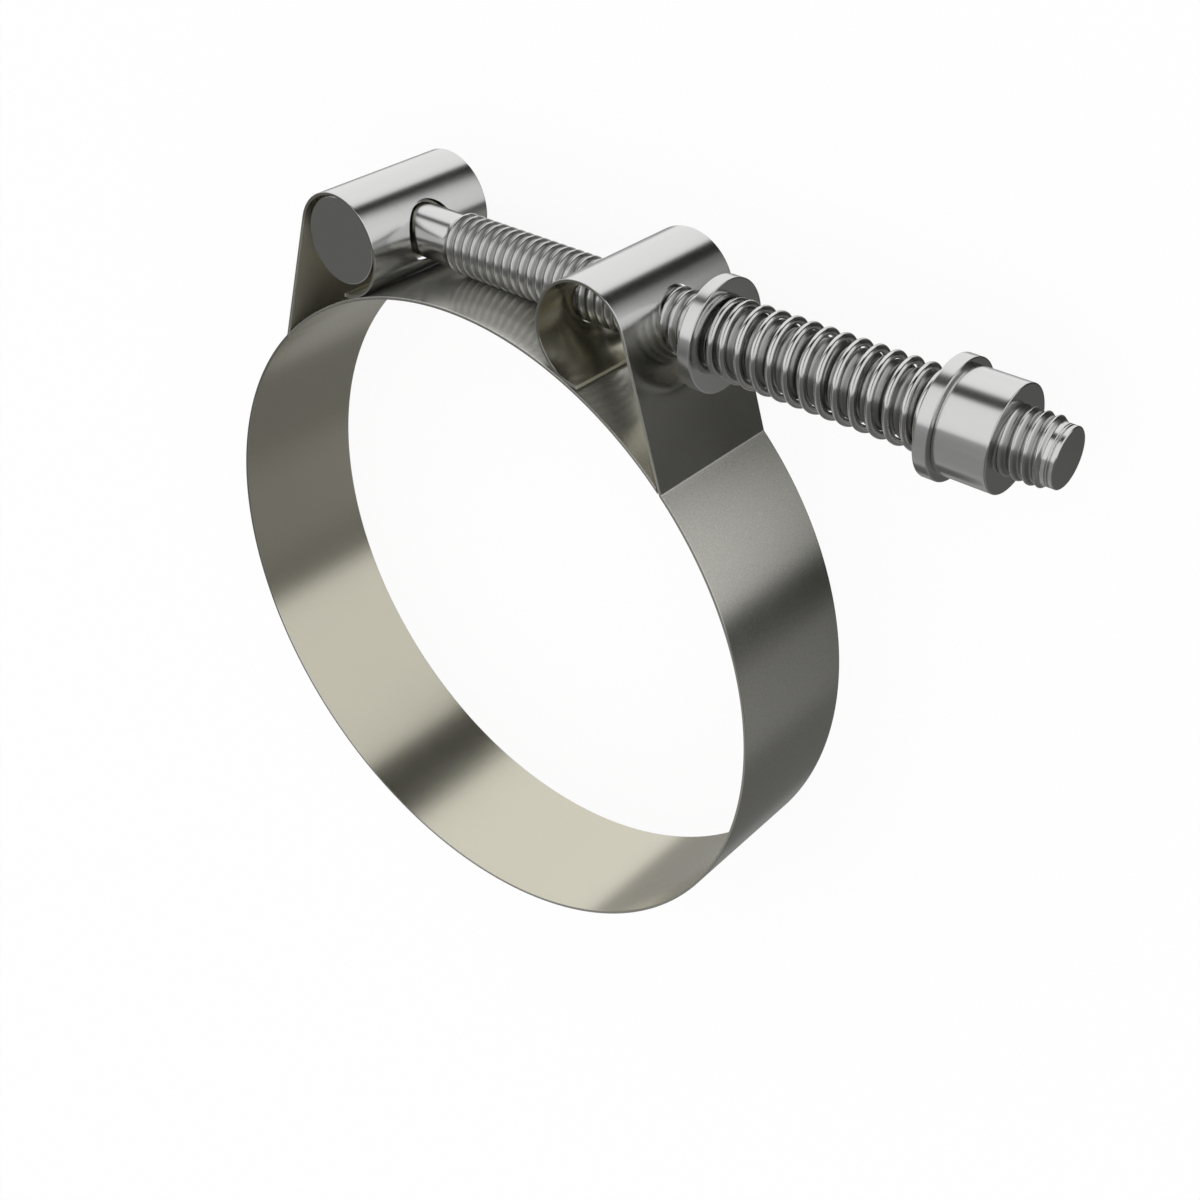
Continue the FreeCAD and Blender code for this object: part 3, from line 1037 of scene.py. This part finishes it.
@dataclass(frozen=True)
class Signal:
    """An output of a node that Python's operators work on."""

    graph: "Graph"
    socket: bpy.types.NodeSocket

    def __add__(self, other: "Signal | float") -> "Signal":
        """Sum."""
        return self.graph.math("ADD", self, other)

    def __radd__(self, other: float) -> "Signal":
        """Sum with a number on the left."""
        return self.graph.math("ADD", other, self)

    def __sub__(self, other: "Signal | float") -> "Signal":
        """Difference."""
        return self.graph.math("SUBTRACT", self, other)

    def __rsub__(self, other: float) -> "Signal":
        """Difference from a number on the left."""
        return self.graph.math("SUBTRACT", other, self)

    def __mul__(self, other: "Signal | float") -> "Signal":
        """Product."""
        return self.graph.math("MULTIPLY", self, other)

    def __rmul__(self, other: float) -> "Signal":
        """Product with a number on the left."""
        return self.graph.math("MULTIPLY", other, self)

    def __truediv__(self, other: "Signal | float") -> "Signal":
        """Quotient."""
        return self.graph.math("DIVIDE", self, other)

    def step(self, low: float, high: float) -> "Signal":
        """Zero below low and one above high, smooth between them.

        Args:
            low: value where the step starts.
            high: value where it ends.

        Returns:
            The step.
        """
        sockets = {"Value": self, "From Min": low, "From Max": high}
        made = self.graph.node("ShaderNodeMapRange", {"interpolation_type": "SMOOTHSTEP"}, sockets)
        return Signal(self.graph, made.outputs["Result"])


# What a node's input takes, and a colour's red, green and blue
Input = Signal | float | tuple
Colour = tuple[float, float, float]


class Graph:
    """Node tree of a material or of the world, filled from expressions."""

    def __init__(self, owner: bpy.types.Material | bpy.types.World) -> None:
        """Empties the owner's node tree.

        Args:
            owner: the material or the world.
        """
        owner.use_nodes = True
        self.tree = owner.node_tree
        self.tree.nodes.clear()

    def node(self, kind: str, settings: dict | None = None, sockets: dict | None = None) -> bpy.types.Node:
        """Adds a node.

        Args:
            kind: the node's type.
            settings: its own properties, set first.
            sockets: values or signals for its inputs, by name or number.

        Returns:
            The node.
        """
        made = self.tree.nodes.new(kind)
        for key, setting in (settings or {}).items():
            setattr(made, key, setting)
        for key, given in (sockets or {}).items():
            self.feed(made.inputs[key], given)
        return made

    def feed(self, socket: bpy.types.NodeSocket, given: Input) -> None:
        """Links a signal to a socket, or sets the socket to a value."""
        if isinstance(given, Signal):
            self.tree.links.new(given.socket, socket)
        else:
            socket.default_value = given

    def math(self, operation: str, first: Input, second: Input = 0.0) -> Signal:
        """Adds a Math node and returns its value."""
        made = self.node("ShaderNodeMath", {"operation": operation}, {0: first, 1: second})
        return Signal(self, made.outputs["Value"])

    def blend(self, share: Input, first: Signal | Colour, second: Signal | Colour) -> Signal:
        """Mixes two colours.

        Args:
            share: share of the second one.
            first: the first colour.
            second: the second colour.

        Returns:
            The mixed colour.
        """
        first, second = (given if isinstance(given, Signal) else (*given, 1.0) for given in (first, second))
        made = self.node("ShaderNodeMix", {"data_type": "RGBA"}, {"Factor": share, 6: first, 7: second})
        return Signal(self, made.outputs[2])

    def place(self) -> Signal:
        """The point in the object's own coordinates, in metres."""
        return Signal(self, self.node("ShaderNodeTexCoord").outputs["Object"])

    def mark(self, name: str) -> Signal:
        """A number that the piece's vertices keep, by its name."""
        made = self.node("ShaderNodeAttribute", {"attribute_type": "GEOMETRY", "attribute_name": name})
        return Signal(self, made.outputs["Fac"])

    def parts(self, vector: Signal) -> tuple[Signal, Signal, Signal]:
        """The three parts of a vector."""
        made = self.node("ShaderNodeSeparateXYZ", None, {"Vector": vector})
        return tuple(Signal(self, output) for output in made.outputs)

    def noise(self, place: Signal, per_mm: float, detail: float = 2.0) -> Signal:
        """Noise between 0 and 1, finer with more grains to a millimetre and with more detail."""
        sockets = {"Vector": place, "Scale": per_mm / MM, "Detail": detail}
        return Signal(self, self.node("ShaderNodeTexNoise", None, sockets).outputs[0])


@dataclass(frozen=True)
class SteelFinish:
    """Stainless steel with a fine grain, faint cloudiness and rubbed edges."""

    name: str
    roughness: float = 0.2
    base: Colour = (0.72, 0.72, 0.715)
    grain_per_mm: float = 9.0
    grain_detail: float = 3.0
    grain_depth: float = 0.0005
    grain_bump: float = 0.35
    grain_share: float = 0.06
    cloud_per_mm: float = 0.12
    cloud_share: float = 0.05
    shade_reach: float = 0.2
    dark: float = 0.82
    dark_share: float = 0.12
    rubbed_and_spring_shade: Colour = (0.8, 0.8, 0.79)
    rubbed_and_spring_shade_share: float = 0.2
    rubbed_smoother: float = 0.06

    def make(self, tint: "Tint", wear: "Wear | None" = None) -> bpy.types.Material:
        """Builds the material.

        Args:
            tint: how the finish changes over the piece.
            wear: where the piece's edges are rubbed bright, or None.

        Returns:
            The material.
        """
        material = bpy.data.materials.new(self.name)
        graph = Graph(material)
        place = graph.place()
        grain = graph.noise(place, self.grain_per_mm, self.grain_detail)
        cloud = graph.noise(place, self.cloud_per_mm)
        shade = (cloud - 0.5) * self.cloud_share + (grain - 0.5) * self.grain_share
        share = shade.step(-self.shade_reach, self.shade_reach) * self.dark_share
        darker = tuple(self.dark * part for part in self.base)
        colour = graph.blend(share, tint.colour(graph, self.base), darker)
        roughness = self.roughness + shade + tint.roughness(graph)
        if wear:
            rubbed_and_spring_shade = wear.mask(graph, place)
            colour = graph.blend(rubbed_and_spring_shade * self.rubbed_and_spring_shade_share, colour, self.rubbed_and_spring_shade)
            roughness = roughness - rubbed_and_spring_shade * self.rubbed_smoother
        bump = graph.node("ShaderNodeBump", None, {
            "Strength": self.grain_bump,
            "Distance": self.grain_depth * MM,
            "Height": grain * tint.grain(graph),
        })
        surface = graph.node("ShaderNodeBsdfPrincipled", None, {
            "Base Color": colour,
            "Metallic": tint.metallic(graph),
            "Roughness": roughness,
            "Normal": Signal(graph, bump.outputs[0]),
        })
        graph.node("ShaderNodeOutputMaterial", None, {"Surface": Signal(graph, surface.outputs[0])})
        return material


class Tint:
    """How a finish changes over its piece. This one doesn't."""

    def colour(self, graph: Graph, colour: Colour) -> Signal | Colour:
        """The piece's colour."""
        return colour

    def roughness(self, graph: Graph) -> Input:
        """What is added to the roughness."""
        return 0.0

    def metallic(self, graph: Graph) -> Input:
        """How metallic the piece is."""
        return 1.0

    def grain(self, graph: Graph) -> Input:
        """Share of the grain's full depth."""
        return 1.0


@dataclass(frozen=True)
class StripTint(Tint):
    """Finish of the strip: straw coloured on its inner face, with painted shade on the loops' inner faces,
    and darker satin on the ring's outside.

    It follows the marks that the strip's vertices keep. It is a little less metallic on the inner face and on
    what the legs shelter, and on the cut ends.
    """

    inner: Colour = (0.63, 0.605, 0.495)
    satin: Colour = (0.57, 0.565, 0.515)
    # Colour of the loops' inner faces: painted shade inside the loops
    hollow: Colour = (0.47, 0.45, 0.36)
    cut: Colour = (0.9, 0.87, 0.72)
    speckles_per_mm: float = 4.5
    speckles: tuple[float, float] = (0.94, 1.06)
    speckle_range: tuple[float, float] = (0.3, 0.7)
    inner_paint: float = 0.055
    leg_paint: float = 0.2
    cut_paint: float = 0.3
    loop_grain: float = 0.35

    def colour(self, graph: Graph, colour: Colour) -> Signal:
        """Mixes the colours into the strip's, with a speckled satin.

        Args:
            graph: the material's graph.
            colour: the steel's colour.

        Returns:
            The strip's colour.
        """
        speckle = graph.noise(graph.place(), self.speckles_per_mm).step(*self.speckle_range)
        dark, light = (tuple(part * share for part in self.satin) for share in self.speckles)
        mixed = graph.blend(graph.mark("satin"), colour, graph.blend(speckle, dark, light))
        # The mark "hollow" mixes in the painted shade of the loops' inner faces
        for mark, part in (("inner", self.inner), ("hollow", self.hollow), ("cut", self.cut)):
            mixed = graph.blend(graph.mark(mark), mixed, part)
        return mixed

    def metallic(self, graph: Graph) -> Signal:
        """Full but for a share at each of three marks."""
        sheltered = self.inner_paint * graph.mark("inner") + self.leg_paint * graph.mark("leg")
        return 1.0 - sheltered - self.cut_paint * graph.mark("cut")

    def grain(self, graph: Graph) -> Signal:
        """Full on the satin part, faint on the polished loops."""
        return self.loop_grain + (1.0 - self.loop_grain) * graph.mark("satin")


@dataclass(frozen=True)
class ThreadTint(Tint):
    """Finish of the bolt's shank: bright crests over darker and duller flanks, and plain outside the thread.
    The darker colour of the flanks and roots is painted shade in the thread's grooves.

    Under the spring the crests are darkened as well: painted shade where the coils cover the thread.
    """

    start: float = THREAD_START
    end: float = PLAIN_START
    run: float = 0.5
    low: float = 3.43
    high: float = 3.57
    # Span along the bolt under the spring, and how much painted shade darkens the crests there
    rubbed_and_spring_shade: tuple[float, float] = (31.0, 58.5)
    rubbed_and_spring_shade_share: float = 0.72
    # Colour of the flanks and roots: painted shade in the thread's grooves
    flank_shade: Colour = (0.38, 0.38, 0.37)
    dull: float = 0.12

    def share(self, graph: Graph) -> Signal:
        """Where the painted shade goes: on the thread's flanks and roots, and on most of the crests under the
        spring.

        The distance from the bolt's axis, the root of the sum of two squares, tells crests from flanks, and
        the place along it tells the thread from the plain shank.

        Args:
            graph: the material's graph.

        Returns:
            One on the flanks and roots, and most of one on the crests under the spring.
        """
        x, y, z = graph.parts(graph.place())
        across, up = y - BOLT_HEIGHT * MM, z - BOLT_LEVEL * MM
        crest = graph.math("SQRT", across * across + up * up).step(self.low * MM, self.high * MM)
        # Painted shade under the spring: the crests there are darkened nearly as much as the flanks
        near, far = (place * MM for place in self.rubbed_and_spring_shade)
        under = x.step(near, near + MM) * (1.0 - x.step(far - MM, far))
        crest = crest * (1.0 - under * self.rubbed_and_spring_shade_share)
        cut = x.step(self.start * MM, (self.start + self.run) * MM)
        cut = cut * (1.0 - x.step((self.end - self.run) * MM, self.end * MM))
        return cut * (1.0 - crest)

    def colour(self, graph: Graph, colour: Colour) -> Signal:
        """Mixes the painted shade of the flanks and roots, and of the crests under the spring, into the
        steel's colour.
        """
        return graph.blend(self.share(graph), colour, self.flank_shade)

    def roughness(self, graph: Graph) -> Signal:
        """Flanks are duller."""
        return self.share(graph) * self.dull


@dataclass(frozen=True)
class Wear:
    """Rubbed bands along the two edges of a piece, at two places along one axis."""

    axis: int
    low: float
    high: float
    reach: float = 0.25

    def mask(self, graph: Graph, place: Signal) -> Signal:
        """Share of the rubbed bands, by the distance from the middle between both edges.

        Args:
            graph: the material's graph.
            place: the point in the object's coordinates.

        Returns:
            One at both edges, falling to nothing within the reach.
        """
        along = graph.parts(place)[self.axis]
        centre = (self.low + self.high) / 2.0 * MM
        half = (self.high - self.low) / 2.0 * MM
        off = graph.math("ABSOLUTE", along - centre)
        return off.step(half - self.reach * MM, half)


# Stage, light and camera


@dataclass(frozen=True)
class Direction:
    """A direction from the object, by its parts along X, along Y and upwards."""

    x: Signal
    y: Signal
    z: Signal

    def along(self, degrees: float) -> Signal:
        """Its part along a level heading."""
        turn = math.radians(degrees)
        return self.x * math.cos(turn) + self.y * math.sin(turn)

    def flat(self) -> Signal:
        """Length of its level part, the root of the sum of two squares."""
        return self.x.graph.math("SQRT", self.x * self.x + self.y * self.y + SMALL)


@dataclass(frozen=True)
class Screen:
    """A lit screen of the studio, with its angles in degrees.

    It stands across one heading. Its sides and its lower and upper edges are angles seen from the object.
    Their tangents are taken up to the steepest angle, and the screen is nowhere nearer than the nearest.
    """

    heading: float
    left: float
    right: float
    level: float
    low: float = -89.0
    high: float = 89.0
    soft: float = 6.0
    steepest: float = 89.5
    nearest: float = 0.001
    front: float = 0.02

    def mask(self, way: Direction) -> Signal:
        """Share of the screen in a direction.

        The part of the direction along the heading is the distance to the screen. The sideways part and the
        height over it are the place on the screen, which is compared with the tangents of its edges.

        Args:
            way: the direction.

        Returns:
            One on the screen.
        """
        ahead = way.along(self.heading)
        distance = ahead.graph.math("MAXIMUM", ahead, self.nearest)
        across = way.along(self.heading + 90.0) / distance
        up = way.z / distance
        share = ahead.step(0.0, self.front)
        for value, first, last in ((across, self.left, self.right), (up, self.low, self.high)):
            for edge, past in ((first, False), (last, True)):
                start = math.tan(math.radians(max(edge - self.soft, -self.steepest)))
                end = math.tan(math.radians(min(edge + self.soft, self.steepest)))
                passed = value.step(start, end)
                share = share * (1.0 - passed if past else passed)
        return share


@dataclass(frozen=True)
class Wedge:
    """A lit or dim part of the studio between two headings and two heights, with its angles in degrees.

    The blur at its lowest and highest angle is measured upwards, as a part of the direction.
    """

    middle: float
    half_width: float
    soft: float
    level: float
    low: float = -90.0
    high: float = 90.0
    blur: float = 0.06

    def mask(self, way: Direction) -> Signal:
        """Share of the wedge in a direction.

        The cosine of the angle from the middle is the direction's part along the middle, over the length of
        its level part. The height is limited by the sine of the lowest and highest angle.

        Args:
            way: the direction.

        Returns:
            One in the wedge.
        """
        outer = math.cos(math.radians(self.half_width + self.soft))
        inner = math.cos(math.radians(self.half_width - self.soft))
        share = (way.along(self.middle) / way.flat()).step(outer, inner)
        for limit, past in ((self.low, False), (self.high, True)):
            if abs(limit) < 90.0:
                sine = math.sin(math.radians(limit))
                passed = way.z.step(sine - self.blur, sine + self.blur)
                share = share * (1.0 - passed if past else passed)
        return share


@dataclass(frozen=True)
class Slope:
    """A smooth rise of an amount, while one part of a direction goes from low to high."""

    low: float
    high: float
    amount: float = 1.0

    def over(self, value: Signal) -> Signal:
        """The amount above the rise."""
        return value.step(self.low, self.high) * self.amount

    def under(self, value: Signal) -> Signal:
        """The amount below the rise."""
        return (1.0 - value.step(self.low, self.high)) * self.amount


@dataclass
class Studio:
    """Floor, surroundings and camera.

    The floor's half side and drop are in metres, and the camera's place is in millimetres. The camera looks
    forward, and its right hand side is the picture's.
    """

    base: float = 0.117
    tone: Colour = (0.011, 0.011, 0.008)
    key: Wedge = Wedge(134.0, 45.5, 3.0, 1.0)
    fill: Screen = Screen(20.0, -19.0, 49.0, 0.87, low=-45.4, soft=3.0)
    dim: tuple[Wedge, ...] = (
        Wedge(-157.0, 21.0, 7.0, 0.34, high=8.0),
        Wedge(-118.0, 16.0, 9.0, 0.29, high=-20.0),
        Wedge(-118.0, 16.0, 9.0, 0.36, low=-20.0, high=15.0, blur=0.12),
        Wedge(-118.0, 16.0, 9.0, 0.29, low=15.0, high=58.0, blur=0.12),
        Wedge(-148.0, 26.0, 8.0, 0.3, low=54.0),
        Wedge(-33.0, 18.0, 10.0, 0.2, low=-35.0, high=5.0),
        Wedge(-33.0, 18.0, 8.0, 0.28, low=-44.0, high=-35.0),
        Wedge(-78.0, 24.0, 8.0, 0.145, low=-46.0, high=5.0),
        Wedge(-11.0, 10.0, 3.0, 0.02, high=-41.0),
        Wedge(80.0, 11.0, 3.0, 0.0),
        Wedge(75.0, 16.0, 5.0, 0.0, high=-37.0),
    )
    key_flag: Wedge = Wedge(86.0, 7.0, 4.0, 0.05, low=-34.0, blur=0.04)
    key_top: Slope = Slope(0.15, 0.4, 0.1)
    fill_top: Slope = Slope(0.55, 0.85, 0.3)
    horizon_depth: float = 1.12
    horizon_low: Slope = Slope(-0.26, -0.07)
    horizon_high: Slope = Slope(0.18, 0.34)
    horizon_lift: Slope = Slope(0.4, 0.56, 0.2)
    ground: Slope = Slope(-0.76, -0.72, 0.02)
    foot: Slope = Slope(-0.95, -0.89, 0.25)
    shadow: Slope = Slope(-0.9, -0.8, 0.85)
    shadow_side: Slope = Slope(-0.38, -0.15)
    floor_half: float = 1.5
    floor_matt: float = 0.08
    floor_drop: float = 0.00002
    place: tuple[float, float, float] = (125.396, 125.436, 140.943)
    forward: tuple[float, float, float] = (-0.53062, -0.57292, -0.62466)
    right: tuple[float, float, float] = (0.76245, -0.00067, -0.64705)

    def light(self) -> None:
        """Surroundings that metal mirrors: bright screens on a grey ground, and white behind the object.

        The brightness starts at the base. Each screen and wedge moves it to its own level by its share, the
        key has a dark horizon across it, and the ground has a shadow. What the camera and matt surfaces see
        is white.
        """
        world = bpy.data.worlds.new("studio")
        bpy.context.scene.world = world
        graph = Graph(world)
        coordinates = graph.node("ShaderNodeTexCoord")
        way = Direction(*graph.parts(Signal(graph, coordinates.outputs["Generated"])))
        level: Input = self.base - self.ground.under(way.z)
        fill = (self.fill.level - self.base) * (1.0 - self.fill_top.over(way.z))
        level = level + self.fill.mask(way) * fill
        for part in self.dim:
            level = level + part.mask(way) * (part.level - self.base)
        level = level + self.foot.under(way.z)
        lift = self.horizon_lift.over(0.0 - way.x / way.flat())
        horizon = self.horizon_low.over(way.z - lift) * self.horizon_high.under(way.z)
        key = (self.key.level - self.base) * (1.0 - horizon * self.horizon_depth - self.key_top.over(way.z))
        level = level + self.key.mask(way) * key
        level = level * (1.0 - self.key_flag.mask(way) * (1.0 - self.key_flag.level))
        level = level * (1.0 - self.shadow.under(way.z) * self.shadow_side.over(way.x))
        rays = graph.node("ShaderNodeLightPath")
        for kind in ("Is Diffuse Ray", "Is Camera Ray"):
            level = level + (1.0 - level) * Signal(graph, rays.outputs[kind])
        colour = graph.blend(level, self.tone, (1.0, 1.0, 1.0))
        background = graph.node("ShaderNodeBackground", None, {"Color": colour, "Strength": 1.0})
        graph.node("ShaderNodeOutputWorld", None, {"Surface": Signal(graph, background.outputs[0])})

    def floor(self) -> None:
        """White floor under the clamp, which keeps a faint shadow."""
        mesh = bpy.data.meshes.new("floor")
        half = self.floor_half
        corners = [(-half, -half, 0.0), (half, -half, 0.0), (half, half, 0.0), (-half, half, 0.0)]
        mesh.from_pydata(corners, [], [(0, 1, 2, 3)])
        floor = bpy.data.objects.new("floor", mesh)
        bpy.context.scene.collection.objects.link(floor)
        material = bpy.data.materials.new("pale_floor")
        graph = Graph(material)
        white = (1.0, 1.0, 1.0, 1.0)
        bright = graph.node("ShaderNodeEmission", None, {"Color": white, "Strength": 1.0})
        matt = graph.node("ShaderNodeBsdfDiffuse", None, {"Color": white})
        sides = {1: Signal(graph, bright.outputs[0]), 2: Signal(graph, matt.outputs[0])}
        mixed = graph.node("ShaderNodeMixShader", None, {0: self.floor_matt, **sides})
        graph.node("ShaderNodeOutputMaterial", None, {"Surface": Signal(graph, mixed.outputs[0])})
        mesh.materials.append(material)
        floor.location.z = -self.floor_drop
        floor.visible_glossy = False

    def camera(self) -> None:
        """Camera at the photograph's place and angle, for a square picture."""
        data = bpy.data.cameras.new("photo_camera")
        data.lens = 50.0
        data.sensor_width = 36.0
        data.sensor_fit = "HORIZONTAL"
        data.clip_start = 0.01
        data.clip_end = 10.0
        forward = Vector(self.forward).normalized()
        up = Vector(self.right).normalized().cross(forward).normalized()
        turn = Matrix((forward.cross(up), up, -forward)).transposed().to_4x4()
        camera = bpy.data.objects.new("photo_camera", data)
        bpy.context.scene.collection.objects.link(camera)
        camera.matrix_world = Matrix.Translation(Vector(self.place) * MM) @ turn
        bpy.context.scene.camera = camera


# Assembly


@dataclass
class Clamp:
    """All pieces of the clamp, each on its body. The turning nut has a little play over the washer's face."""

    nut_play: float = 0.01
    rim_wear: float = 0.15

    def add(
        self, piece: bpy.types.Object, body: Body, slot: str, material: bpy.types.Material, *nodes: str
    ) -> bpy.types.Object:
        """Dresses a piece and ties it to its body and nodes.

        Args:
            piece: the piece.
            body: what it rides on.
            slot: the record's slot for its finish; not used.
            material: its finish here.
            nodes: the nodes that it stands for.

        Returns:
            The piece.
        """
        piece.data.materials.clear()
        piece.data.materials.append(material)
        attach(piece, body.value)
        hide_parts(*nodes)
        log.info("piece %s rides on %s", piece.name, body.value)
        return piece

    def span(self, node: str) -> tuple[float, float]:
        """Where a node starts and ends along the bolt, in millimetres."""
        low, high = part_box(node)
        return low.x / MM, high.x / MM

    def build(self) -> None:
        """Builds every piece in order from the band to the spring."""
        band = BandMesh()
        strip = SteelFinish("band_steel").make(StripTint(), Wear(2, 0.0, band.strip.width))
        self.add(band.build("band_strip"), Body.CLAMP, "band_steel", strip, "band")
        self.add(BridgeMesh().build("bridge_strip"), Body.CLAMP, "bridge_steel", strip, "bridge")
        bolt = SteelFinish("bolt_steel")
        bar = CrossBar()
        bar_steel = bolt.make(Tint(), Wear(2, bar.low, bar.high))
        self.add(bar.build("cross_bar"), Body.CLAMP, "bolt_steel", bar_steel, "t_bolt")
        shank_steel = bolt.make(ThreadTint())
        for part, name in ((ThreadedShank(), "bolt_shank"), (BoltEnd(), "bolt_end")):
            self.add(part.build(name), Body.CLAMP, "bolt_steel", shank_steel, "t_bolt")
        for node, body in (("inner_washer", Body.INNER_SEAT), ("outer_washer", Body.OUTER_SEAT)):
            start, end = self.span(node)
            steel = SteelFinish("washer_steel").make(Tint(), Wear(0, start, end, self.rim_wear))
            self.add(Washer(start, end - start).build(node + "_turned"), body, "washer_steel", steel, node)
        start, end = self.span("lock_nut")
        start += self.nut_play
        nut_steel = SteelFinish("nut_steel").make(Tint(), Wear(0, start, end, self.rim_wear))
        nut = RoundNut(start, end - start).build("lock_nut_turned")
        self.add(nut, Body.NUT, "nut_steel", nut_steel, "lock_nut")
        spring_steel = SteelFinish("spring_steel", roughness=0.18).make(Tint())
        wire = CoilSpring().build("spring_wire")
        spring = self.add(wire, Body.OUTER_SEAT, "spring_steel", spring_steel, "spring")
        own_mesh(spring)


def main() -> None:
    """Loads the frame and builds the stage and the clamp."""
    logging.basicConfig(level=logging.INFO, format="%(message)s")
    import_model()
    studio = Studio()
    studio.camera()
    studio.light()
    studio.floor()
    Clamp().build()
    scene = bpy.context.scene
    scene.view_settings.view_transform = "Standard"
    bpy.context.view_layer.update()


if __name__ == "__main__":
    main()
